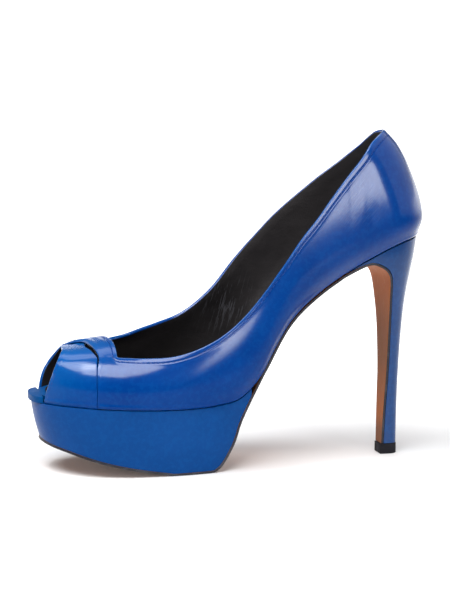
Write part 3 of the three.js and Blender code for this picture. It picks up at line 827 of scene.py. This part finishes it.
@dataclass
class Upper:
    """Upper of one crossed band: leather outside, folded edges, black lining inside."""

    shop: Workshop
    last: Last
    band: Band
    wall: float = 1.8
    cross: float = 1.05
    edge: float = 0.4
    skive: float = 0.75
    hem: float = 2.5
    rim_hem: float = 1.9
    no_hem: float = 60.0
    fold: float = 0.14
    groove: float = 0.24
    pleat: float = 0.14
    roll: float = 0.32
    roll_rise: float = 1.9
    tuck: float = 0.3
    tuck_rise: float = 1.2
    widest: float = 0.66
    strap_run: float = 0.185
    strap_c: float = 0.26
    c_mm: float = 52.0
    margins: tuple = (0.4, 0.7, 1.1, 1.6, 2.0, 2.25, 2.5, 2.75, 3.05, 3.5, 4.2)
    outer_cols: int = 34
    inner_cols: int = 12
    bend: int = 6
    creases: tuple = (
        Crease((0.800, -0.70), (0.835, -0.56), 1.3, 0.16),
        Crease((0.812, -0.74), (0.850, -0.62), 1.2, -0.14),
        Crease((0.826, -0.80), (0.858, -0.70), 1.4, 0.15),
    )
    leather: Finish = CalfLeather("calf_upper", creases=True, edges=True)
    lining: Finish = LiningLeather("lining")
    thread: Finish = Painted("thread", (0.0, 0.04, 0.24), (0.0, 0.06, 0.32), 0.7, 4000, 0.03)

    def relief(self, hem: float, seam: float, row: BandRow, t: float) -> float:
        """Height of the folded hem, the stitch groove and the pleats over the plain wall, in mm."""
        fold = self.fold * (1 - smooth((hem - self.hem - 0.5) / 0.8))
        groove = self.groove * hump(hem - self.hem, 0.3)
        rim = 0.08 * (1 - smooth((seam - self.rim_hem - 0.5) / 0.8))
        pleats = self.pleat * row.pleat * math.sin(t * 4.2 * math.pi) * math.sin(t * math.pi)
        return row.hem * (fold - groove) + rim + pleats

    def crease_at(self, run: float, c: float) -> float:
        """Depth of the listed creases at a place, in mm."""
        depth = 0.0
        for crease in self.creases:
            a, b, p = (Vector((at[0] * self.last.length, at[1] * self.c_mm))
                       for at in (crease.start, crease.end, (run, c)))
            t = clamp((p - a).dot(b - a) / (b - a).length_squared)
            away = (p - a.lerp(b, t)).length
            if away < 4 * crease.width:
                depth -= crease.depth * hump(away, crease.width) * math.sin(math.pi * mix(0.15, 0.85, t))
        return depth

    def _ladder(self) -> list[Triple]:
        """Section of the band: distance from an edge, edge or share across, depth through the wall."""
        margin, bend = self.margins[-1], spread(self.bend + 1, 0, math.pi)
        rungs = [(m, 0.0, 0.0) for m in self.margins[:-1]]
        rungs += [(margin, t, 0.0) for t in self._inward(self.outer_cols)]
        rungs += [(m, 1.0, 0.0) for m in reversed(self.margins[:-1])]
        rungs += [(self.edge * (1 - math.sin(a)), 1.0, (1 - math.cos(a)) / 2) for a in bend[1:-1]]
        rungs += [(self.edge, t, 1.0) for t in reversed(self._inward(self.inner_cols))]
        rungs += [(self.edge * (1 - math.sin(a)), 0.0, (1 - math.cos(a)) / 2) for a in reversed(bend[1:-1])]
        return [*rungs, rungs[0]]

    @staticmethod
    def _inward(n: int) -> list[float]:
        """n shares across, a hair off the two edges."""
        return spread(n, 1e-6, 1 - 1e-6)

    def _roll(self, run: float, c: float) -> float:
        """Relief of the lasted edge: a soft roll just over the feather line, tucked in under it."""
        rise = (1 - abs(c)) / self.last.belly_phi * self.last.belly(min(run, 1.0)) * self.last.vamp
        return self.roll * hump(rise - self.roll_rise, 0.8) - self.tuck * (1 - smooth(rise / self.tuck_rise))

    def _polish(self, run: float, c: float) -> float:
        """Share of polish: full over the widest line and round the back, less on the crown of the straps."""
        side = abs(c)
        back = smooth((run - 0.6) / 0.12) * (1 - 0.9 * hump(side - 0.84, 0.07))
        off_strap, off_crown = smooth((run - self.strap_run) / 0.04), smooth((side - self.strap_c) / 0.16)
        crown = 1 - 0.65 * (1 - off_strap) * (1 - off_crown)
        return max(smooth((self.widest - side) / 0.1), back) * crown

    def _width(self, row: BandRow) -> float:
        """Width of the band at a rung, in mm."""
        walk = [self.last.point(*self._between(row, t)) for t in spread(7, 0, 1)]
        return sum((b - a).length for a, b in zip(walk, walk[1:]))

    def build(self) -> None:
        """Makes the upper and its stitching."""
        rows = self.band.rows()
        ladder = self._ladder()
        widths = [self._width(row) for row in rows]
        cells = [[self._cell(row, width, *rung) for rung in ladder] for row, width in zip(rows, widths)]
        form = self.shop.sheet(
            len(rows), len(ladder), lambda i, j: cells[i][j][0],
            {"hem_mm": lambda i, j: cells[i][j][1], "polish": lambda i, j: cells[i][j][2]},
            lambda i, j: Skin.INNER if min(ladder[j][2], ladder[j + 1][2]) > 0.8 else Skin.OUTER)
        self.shop.close(form)
        self.shop.piece("upper_leather", form, (self.leather, self.lining), "upper_leather", ("upper",), 70)
        self._stitch(rows, widths)

    def _cell(self, row: BandRow, width: float, start: float, end: float, depth: float
              ) -> tuple[Vector, float, float]:
        """Point, distance from a hem and polish, where a rung of the band meets one of the ladder."""
        if end in (0.0, 1.0):
            t = abs(end - start / width)
        else:
            t = mix(start / width, 1 - start / width, end)
        place = self._between(row, t)
        hem, seam = (1 - t) * width, t * width
        skive = self.skive * max(0.0, row.lift) * (1 - smooth(seam / 4))
        lift = row.lift * self.cross - mix(skive, self.wall, depth)
        if depth < 0.5:
            lift += (1 - 2 * depth) * (self.relief(hem, seam, row, t) + self.crease_at(*place)
                                       + self._roll(*place))
        point = self.last.point(*place) + self.last.normal(*place) * lift
        hemmed = depth < 0.6 and row.hem > 0.5
        return point, min(hem, self.no_hem) if hemmed else self.no_hem, self._polish(*place)

    def _between(self, row: BandRow, t: float) -> Place:
        """Place on the last at a share from a rung's front to its rear."""
        return mix(row.front[0], row.rear[0], t), mix(row.front[1], row.rear[1], t)

    def _stitch(self, rows: list[BandRow], widths: list[float]) -> None:
        """Lays thread along the hem of the topline and of the peep rim."""
        form = bmesh.new()
        for rear in (True, False):
            path: list[tuple[Vector, Vector]] = []
            for row, width in zip(rows, widths):
                if row.hem < 0.5 if rear else self._rim_hidden(row):
                    self._thread(form, path)
                    path = []
                    continue
                place = self._between(row, 1 - self.hem / width if rear else self.rim_hem / width)
                normal = self.last.normal(*place)
                path.append((self.last.point(*place) + normal * (row.lift * self.cross + 0.1), normal))
            self._thread(form, path)
        self.shop.piece("stitching", form, (self.thread,), "upper_leather", (), 60)

    @staticmethod
    def _rim_hidden(row: BandRow) -> bool:
        """Whether a rung's front edge is under the crossing, at the feather or behind the peep."""
        return row.lift < -0.3 or abs(row.front[1]) > 0.97 or row.front[0] > 0.125

    def _thread(self, form: Form, path: list[tuple[Vector, Vector]],
                pitch: float = 2.7, length: float = 2.0, thick: float = 0.36) -> None:
        """Lays single stitches of a seam along a path."""
        size = Matrix.Diagonal((length, thick, thick * 0.8, 1)) @ Matrix.Rotation(math.pi / 2, 4, "Y")
        walked, nxt = 0.0, pitch
        for (a, normal), (b, _) in zip(path, path[1:]):
            step = (b - a).length
            while walked + step > nxt and step > 1e-6:
                along = (b - a).normalized()
                side = normal.cross(along).normalized()
                turn = Matrix((along, side, normal)).transposed().to_4x4()
                place = Matrix.Translation(a.lerp(b, (nxt - walked) / step))
                made = bmesh.ops.create_uvsphere(form, u_segments=6, v_segments=5, radius=0.5)
                bmesh.ops.transform(form, matrix=place @ turn @ size, verts=made["verts"])
                nxt += pitch
            walked += step


@dataclass
class Bottom:
    """What is under the foot: covered platform, board with its lip, sock and outsole strip."""

    shop: Workshop
    last: Last
    board: float = 3.4
    sock: float = 1.2
    sole: float = 1.7
    skive: float = 0.5
    gap: float = 0.3
    arch_gap: float = 0.51
    wall: float = 1.8
    lip_tip: float = -111.55
    platform_tip: float = -110.15
    sole_tip: float = -106.15
    rim_x: float = -105.3
    rim_step: float = 0.2
    lip_taper: float = 0.2
    side_gap: float = 0.6
    end_gap: float = 0.8
    sock_inset: float = 0.6
    sock_back: float = 3.2
    sock_front: float = 22.0
    sock_power: float = 2.4
    fullness: float = 0.55
    strip_cols: int = 9
    strip_rows: int = 170
    toe_rows: int = 22
    lip_cols: int = 16
    pad_cols: int = 90
    platform_cols: int = 84
    platform_rows: int = 9
    platform_end: float = 0.533
    # station, height of the tread's underside
    tread: tuple = (
        (0.025, 16.4), (0.045, 15.0), (0.080, 12.9), (0.120, 10.1), (0.165, 7.3), (0.215, 4.7),
        (0.265, 2.5), (0.310, 0.8), (0.335, 0.0), (0.380, 0.0), (0.425, 0.0), (0.442, 1.3),
        (0.461, 5.6), (0.488, 16.0), (0.510, 28.2),
    )
    # rows along the arch, its first and last station
    arch: tuple = (11, 0.556, 0.790)
    # station, height share and half width down the breast
    breast: tuple = (
        (0.838, 0.876, 21.8), (0.866, 0.868, 21.2), (0.887, 0.842, 19.6), (0.8965, 0.800, 17.6),
        (0.9005, 0.700, 14.0), (0.9025, 0.580, 11.0), (0.9020, 0.390, 8.3), (0.8985, 0.250, 6.8),
        (0.8960, 0.120, 5.7), (0.8950, 0.049, 5.3),
    )
    cover: Finish = CalfLeather(
        "calf_platform", base=(0.002, 0.055, 0.235), deep=(0.001, 0.046, 0.205), roughness=0.36, coat=0.1)
    lip: Finish = CalfLeather(
        "calf_lip", base=(0.0, 0.055, 0.2), deep=(0.0, 0.045, 0.17), roughness=0.45, coat=0.0)
    lining: Finish = LiningLeather("sock_leather", 0.03, (0.007, 0.0065, 0.007), (0.02, 0.019, 0.02))
    tan: Finish = SoleLeather("sole_leather")
    paint: Finish = Painted("edge_paint", (0.014, 0.015, 0.022), (0.035, 0.036, 0.045), 0.4)

    def __post_init__(self) -> None:
        """Lays out the centre line of the outsole strip."""
        last = self.last
        rows = []
        for at, z in self.tread:
            x = last.x_of(at)
            rows.append((x, z, *(self._draw(x) * last.half(x, s, self.sole_tip) for s in SIDES)))
        self.tread_end = len(rows) - 1
        for at in spread(*self.arch):
            x = last.x_of(at)
            rows.append((*last.under_bed(x, self.arch_gap + self.sole),
                         *(last.half(x, s, last.feather_tip) for s in SIDES)))
        rows += [(last.x_of(at), z * last.seat, w, w) for at, z, w in self.breast]
        self.strip_x, self.strip_z, self.strip_lat, self.strip_med = columns(
            [(i, *row) for i, row in enumerate(rows)])
        self.strip_end = len(rows) - 1

    def _draw(self, x: float) -> float:
        """Share of the feather outline that the tread keeps, more of it toward the arch."""
        return mix(0.9, 0.97, smooth((self.last.share(x) - 0.42) / 0.12))

    def strip(self, t: float, off: float) -> Place:
        """Point (x, z) of the strip, off mm over its underside."""
        (x0, z0), (x, z), (x1, z1) = ((self.strip_x(at), max(0.0, self.strip_z(at)))
                                      for at in (t - 0.01, t, t + 0.01))
        size = math.hypot(x1 - x0, z1 - z0)
        return x - off * (z1 - z0) / size, z + off * (x1 - x0) / size

    def sole_faces(self, t: float) -> Place:
        """Offsets of the sole's under and upper face: skived from above on the tread, from below past it."""
        past = smooth((t - self.tread_end + 1.5) / 2)
        return self.skive * past, self.sole - self.skive * (1 - past)

    def strip_half(self, t: float) -> Place:
        """Half widths of the strip, lateral and medial, as y values."""
        x = self.strip_x(t)
        if t > self.tread_end:
            return -self.strip_lat(t), self.strip_med(t)
        axis, draw = self.last.axis(x), self._draw(x)
        return tuple((axis + s * self.last.half(x, s, self.sole_tip)) * draw for s in SIDES)

    def _ring(self, loops: list[list[Vector]]) -> Form:
        """Closed form of stacked loops, the first and last of them welded shut along the middle line."""
        form = self.shop.sheet(len(loops), len(loops[0]) + 1,
                               lambda i, j: loops[i][j % len(loops[0])])
        bmesh.ops.remove_doubles(form, verts=form.verts, dist=1e-3)
        bmesh.ops.recalc_face_normals(form, faces=form.faces)
        return form

    def build_platform(self) -> None:
        """Covered platform: bed outline above, tread outline below, slightly full sides."""
        last, n = self.last, self.platform_cols
        shares = [0.5 - 0.5 * math.cos(math.pi * (0.012 + 0.976 * t)) for t in spread(n, 0, 1)]
        end = last.x_of(self.platform_end)
        top, low = ({side: [] for side in SIDES} for _ in range(2))
        for t in shares:
            x = mix(self.platform_tip, end, t)
            run = mix(0.02, self.tread_end + 0.55, t ** 0.9)
            bx, bz = self.strip(run, self.sole_faces(run)[1] + self.gap / 2)
            ys = self.strip_half(run)
            for side in SIDES:
                y = last.axis(x) + side * (last.half(x, side, self.platform_tip) - 0.5)
                top[side].append(Vector((last.foot_x(x), y, last.bed(x) - self.gap)))
                low[side].append(Vector((bx, ys[side > 0], bz)))
        order = [(LATERAL, i) for i in range(n)] + [(MEDIAL, i) for i in reversed(range(n))]
        spine_top, spine_low = ([(a + b) / 2 for a, b in zip(*edge.values())] for edge in (top, low))
        for spine in (spine_top, spine_low):
            spine[0], spine[-1] = spine[0].lerp(spine[1], 0.6), spine[-1].lerp(spine[-2], 0.6)
        loops = [[spine_low[i] for _, i in order], [low[s][i] for s, i in order]]
        for t in spread(self.platform_rows, 0, 1)[1:-1]:
            full = self.fullness * math.sin(math.pi * t)
            loop = []
            for s, i in order:
                p = low[s][i].lerp(top[s][i], t)
                away = Vector((p.x - (spine_low[i].x + 14 * (0.5 - shares[i]) * 2), p.y, 0)).normalized()
                loop.append(p + away * full * smooth((0.97 - shares[i]) / 0.2))
            loops.append(loop)
        loops += [[top[s][i] for s, i in order], [spine_top[i] for _, i in order]]
        form = self._ring(loops)
        self.shop.soften(form, radius=1.1, segments=3, least=55)
        self.shop.piece("platform_cover", form, (self.cover,), "cover_leather", ("platform",), 50)

    def _pad(self, tip: float, inset: float, low: float, high: float, soft: float, end: float) -> Form:
        """Board or sock: its outline swept through its thickness, with softened edges.

        Args:
            tip: x of its front.
            inset: how far its sides stand in from the board's, which then follow the wall's flare if over 0.
            low: height of its underside over the bed.
            high: height of its upper side over the bed.
            soft: radius of its edges.
            end: x of its rear.
        """
        last = self.last
        inner = self.wall + self.side_gap
        front = tip + self.sock_front if tip > self.rim_x else self.rim_x

        def place(x: float, side: int, z: float, middle: bool) -> Vector:
            """Point of the outline, or of its middle line, which stops a little short of both ends."""
            if middle:
                x = mix(x, 0.0, 0.005)
            if x < self.rim_x:
                lip = 1 - self.lip_taper * clamp((x - tip) / (self.rim_x - tip))
                half = max(0.0, last.half(x, side, tip) * lip)
            else:
                half = last.half(x, side, last.feather_tip, inner + inset)
                if inset > 0:
                    half += last.flare(x, side, z)
                if x < front:
                    half *= rounded((x - tip) / (front - tip), self.sock_power)
            px, pz = last.under_bed(x, -z)
            return Vector((px, last.axis(x) + (0 if middle else side * half), pz))

        stations = [mix(tip, front - self.rim_step, t * t) for t in spread(self.lip_cols, 0.05, 1)]
        stations += [mix(front, end, 0.5 - 0.5 * math.cos(0.985 * math.pi * t))
                     for t in spread(self.pad_cols, 0, 1)]
        order = [(LATERAL, x) for x in stations] + [(MEDIAL, x) for x in reversed(stations)]
        loops = [[place(x, s, z, middle) for s, x in order]
                 for z, middle in ((low, True), (low, False), (high, False), (high, True))]
        form = self._ring(loops)
        self.shop.soften(form, radius=soft, segments=4, least=60)
        return form

    def build_insole(self) -> None:
        """Board with its covered lip, and the dark sock on it."""
        end = self.last.heel - self.wall - self.end_gap
        form = self._pad(tip=self.lip_tip, inset=0.0, low=0.0, high=self.board, soft=1.1, end=end)
        self.shop.piece("covered_board", form, (self.lip,), "insole_leather", ("insole_board",), 50)
        form = self._pad(tip=self.rim_x + self.sock_back, inset=self.sock_inset,
                         low=self.board + self.gap * 0.3, high=self.board + self.gap + self.sock,
                         soft=0.5, end=end - self.end_gap)
        self.shop.piece("sock", form, (self.lining,), "lining_leather", ("sock_lining",), 50)

    def build_outsole(self) -> None:
        """Tan strip with painted edges, from the toe down the breast of the heel."""
        runs = [5 * t * t + 0.02 for t in spread(self.toe_rows, 0, 1)]
        runs += spread(self.strip_rows, 5.15, self.strip_end)
        n = self.strip_cols

        def place(i: int, j: int) -> Vector:
            """Point of the strip's closed section."""
            t, k = runs[i], j % (2 * n)
            lat, med = self.strip_half(t)
            up = k >= n
            x, z = self.strip(t, self.sole_faces(t)[up])
            return Vector((x, mix(lat, med, (2 * n - 1 - k if up else k) / (n - 1)), z))

        form = self.shop.sheet(len(runs), 2 * n + 1, place,
                               zone=lambda i, j: Skin.INNER if j in (n - 1, 2 * n - 1) else Skin.OUTER)
        ends = {v for v in form.verts if v.is_boundary}
        self.shop.close(form)
        for face in form.faces:
            if ends.issuperset(face.verts):
                face.material_index = Skin.INNER.value
        self.shop.soften(form, radius=0.35, segments=3, least=55)
        self.shop.piece("outsole_strip", form, (self.tan, self.paint), "sole_leather", ("outsole",), 50)


@dataclass
class Heel:
    """Covered stiletto and its top piece."""

    shop: Workshop
    height: float = 5.8
    front: float = 88.18
    back: float = 98.98
    half: float = 5.5
    power: float = 0.92
    round_by_half: float = 1.08
    round_by_depth: float = 0.62
    cover: Finish = CalfLeather(
        "calf_heel", base=(0.004, 0.042, 0.17), deep=(0.003, 0.036, 0.148), roughness=0.34, coat=0.65)
    rubber: Finish = Painted(
        "toplift_rubber", (0.004, 0.004, 0.008), (0.009, 0.009, 0.015), 0.8, 1500, 0.06)

    def build_stem(self, solid: bpy.types.Object) -> None:
        """Makes the covered stem from its solid."""
        form = bmesh.new()
        form.from_mesh(solid.data)
        bmesh.ops.scale(form, vec=(1 / MM,) * 3, verts=form.verts)
        bmesh.ops.remove_doubles(form, verts=form.verts, dist=0.01)
        self.shop.piece("heel_cover", form, (self.cover,), "heel_cover", ("heel",), 38)

    def build_top_piece(self) -> None:
        """Makes the top piece, D-shaped with a flat front."""
        form = bmesh.new()
        round_x = min(self.half * self.round_by_half, (self.back - self.front) * self.round_by_depth)
        outline = [Vector((self.front, -self.half, 0))]
        for a in spread(25, -math.pi / 2, math.pi / 2):
            x = self.back - round_x + round_x * max(0.0, math.cos(a)) ** self.power
            outline.append(Vector((x, math.copysign(abs(math.sin(a)) ** self.power, a) * self.half, 0)))
        outline.append(Vector((self.front, self.half, 0)))
        base = form.faces.new([form.verts.new(p) for p in outline])
        grown = bmesh.ops.extrude_face_region(form, geom=[base])
        verts = [v for v in grown["geom"] if isinstance(v, bmesh.types.BMVert)]
        bmesh.ops.translate(form, vec=(0, 0, self.height), verts=verts)
        bmesh.ops.recalc_face_normals(form, faces=form.faces)
        self.shop.soften(form, radius=0.35, segments=3)
        self.shop.piece("top_piece", form, (self.rubber,), "toplift_rubber", ("toplift",), 45)


@dataclass
class Studio:
    """Floor sweep, soft lights and the camera at the photograph's angle."""

    shop: Workshop
    azimuth: float = -13.0
    elevation: float = 7.0
    distance: float = 0.96
    aim: Triple = (-0.00175, 0.0, 0.0907)
    lens: float = 103.3
    flat: float = 1.9
    sweep: float = 0.4
    wall: float = 0.45
    sky: tuple = (0.9, 0.93, 1.0, 1.0)
    sky_strength: float = 0.1
    # name, place, target, size, watts
    lamps: tuple = (
        ("overhead", (-0.33, -0.48, 1.15), (-0.04, 0.0, 0.05), (0.98, 0.85), 20.0),
        ("front_soft", (0.45, -1.23, 0.4), (0.05, 0.0, 0.15), (0.42, 0.4), 5.2),
        ("left_soft", (-0.68, -0.05, 1.12), (-0.08, -0.01, 0.05), (0.6, 0.65), 7.0),
        ("right_fill", (0.9, -0.02, 0.5), (0.08, 0.0, 0.12), (1.6, 0.9), 2.6),
        ("rear_top", (0.1, 0.85, 1.3), (0.0, 0.1, 0.0), (1.2, 0.6), 6.0),
    )

    def _stand(self, name: str, data: bpy.types.ID, place: Vector, towards: Vector) -> bpy.types.Object:
        """Puts a lamp or a camera at a place, looking along a direction."""
        made = bpy.data.objects.new(name, data)
        made.location = place
        made.rotation_euler = towards.to_track_quat("-Z", "Y").to_euler()
        bpy.context.scene.collection.objects.link(made)
        return made

    def build_camera(self) -> None:
        """Camera on the shoe, from where the photograph was taken."""
        a, e = math.radians(self.azimuth), math.radians(self.elevation)
        back = Vector((math.sin(a) * math.cos(e), -math.cos(a) * math.cos(e), math.sin(e)))
        data = bpy.data.cameras.new("camera")
        data.lens, data.sensor_width = self.lens, 36.0
        data.clip_start, data.clip_end = 0.05, 30.0
        place = Vector(self.aim) + back * self.distance
        bpy.context.scene.camera = self._stand("camera", data, place, -back)

    def build_floor(self) -> None:
        """Round pale floor that sweeps up far from the shoe."""
        form = bmesh.new()
        profile = [Vector((r, 0, 0)) for r in (0.0, 0.4, 0.8, self.flat)]
        profile += [Vector((self.flat + self.sweep * math.sin(a), 0, self.sweep * (1 - math.cos(a))))
                    for a in spread(12, 0, math.pi / 2)[1:]]
        profile.append(Vector((self.flat + self.sweep, 0, self.wall)))
        verts = [form.verts.new(p) for p in profile]
        edges = [form.edges.new(pair) for pair in zip(verts, verts[1:])]
        bmesh.ops.spin(form, geom=verts + edges, cent=(0, 0, 0), axis=(0, 0, 1), angle=math.tau,
                       steps=72, use_merge=True)
        bmesh.ops.remove_doubles(form, verts=form.verts, dist=1e-4)
        bmesh.ops.recalc_face_normals(form, faces=form.faces)
        if sum(f.normal.z * f.calc_area() for f in form.faces) < 0:
            bmesh.ops.reverse_faces(form, faces=form.faces)
        self.shop.dress("floor", form, (StudioFloor(),))

    def build_lights(self) -> None:
        """Soft lamps over the shoe and for the counter, a fill, a lamp behind and a soft sky."""
        for name, place, target, size, power in self.lamps:
            data = bpy.data.lights.new(name, "AREA")
            data.shape, data.size, data.size_y, data.energy = "RECTANGLE", *size, power
            self._stand(name, data, Vector(place), Vector(target) - Vector(place))
        world = bpy.data.worlds.new("sky")
        world.use_nodes = True
        sky = world.node_tree.nodes["Background"].inputs
        sky["Color"].default_value, sky["Strength"].default_value = self.sky, self.sky_strength
        scene = bpy.context.scene
        scene.world = world
        scene.view_settings.view_transform = "Standard"
        scene.view_settings.look = "None"


def main() -> None:
    """Builds the shoe over its frame, then the studio."""
    logging.basicConfig(level=logging.INFO, format="%(name)s %(message)s")
    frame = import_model()
    shop, last = Workshop(), Last()
    studio = Studio(shop)
    studio.build_camera()
    Upper(shop, last, Band(last)).build()
    bottom = Bottom(shop, last)
    bottom.build_platform()
    bottom.build_insole()
    bottom.build_outsole()
    heel = Heel(shop)
    heel.build_stem(frame["nodes"]["heel"])
    heel.build_top_piece()
    studio.build_floor()
    studio.build_lights()


if __name__ == "__main__":
    main()
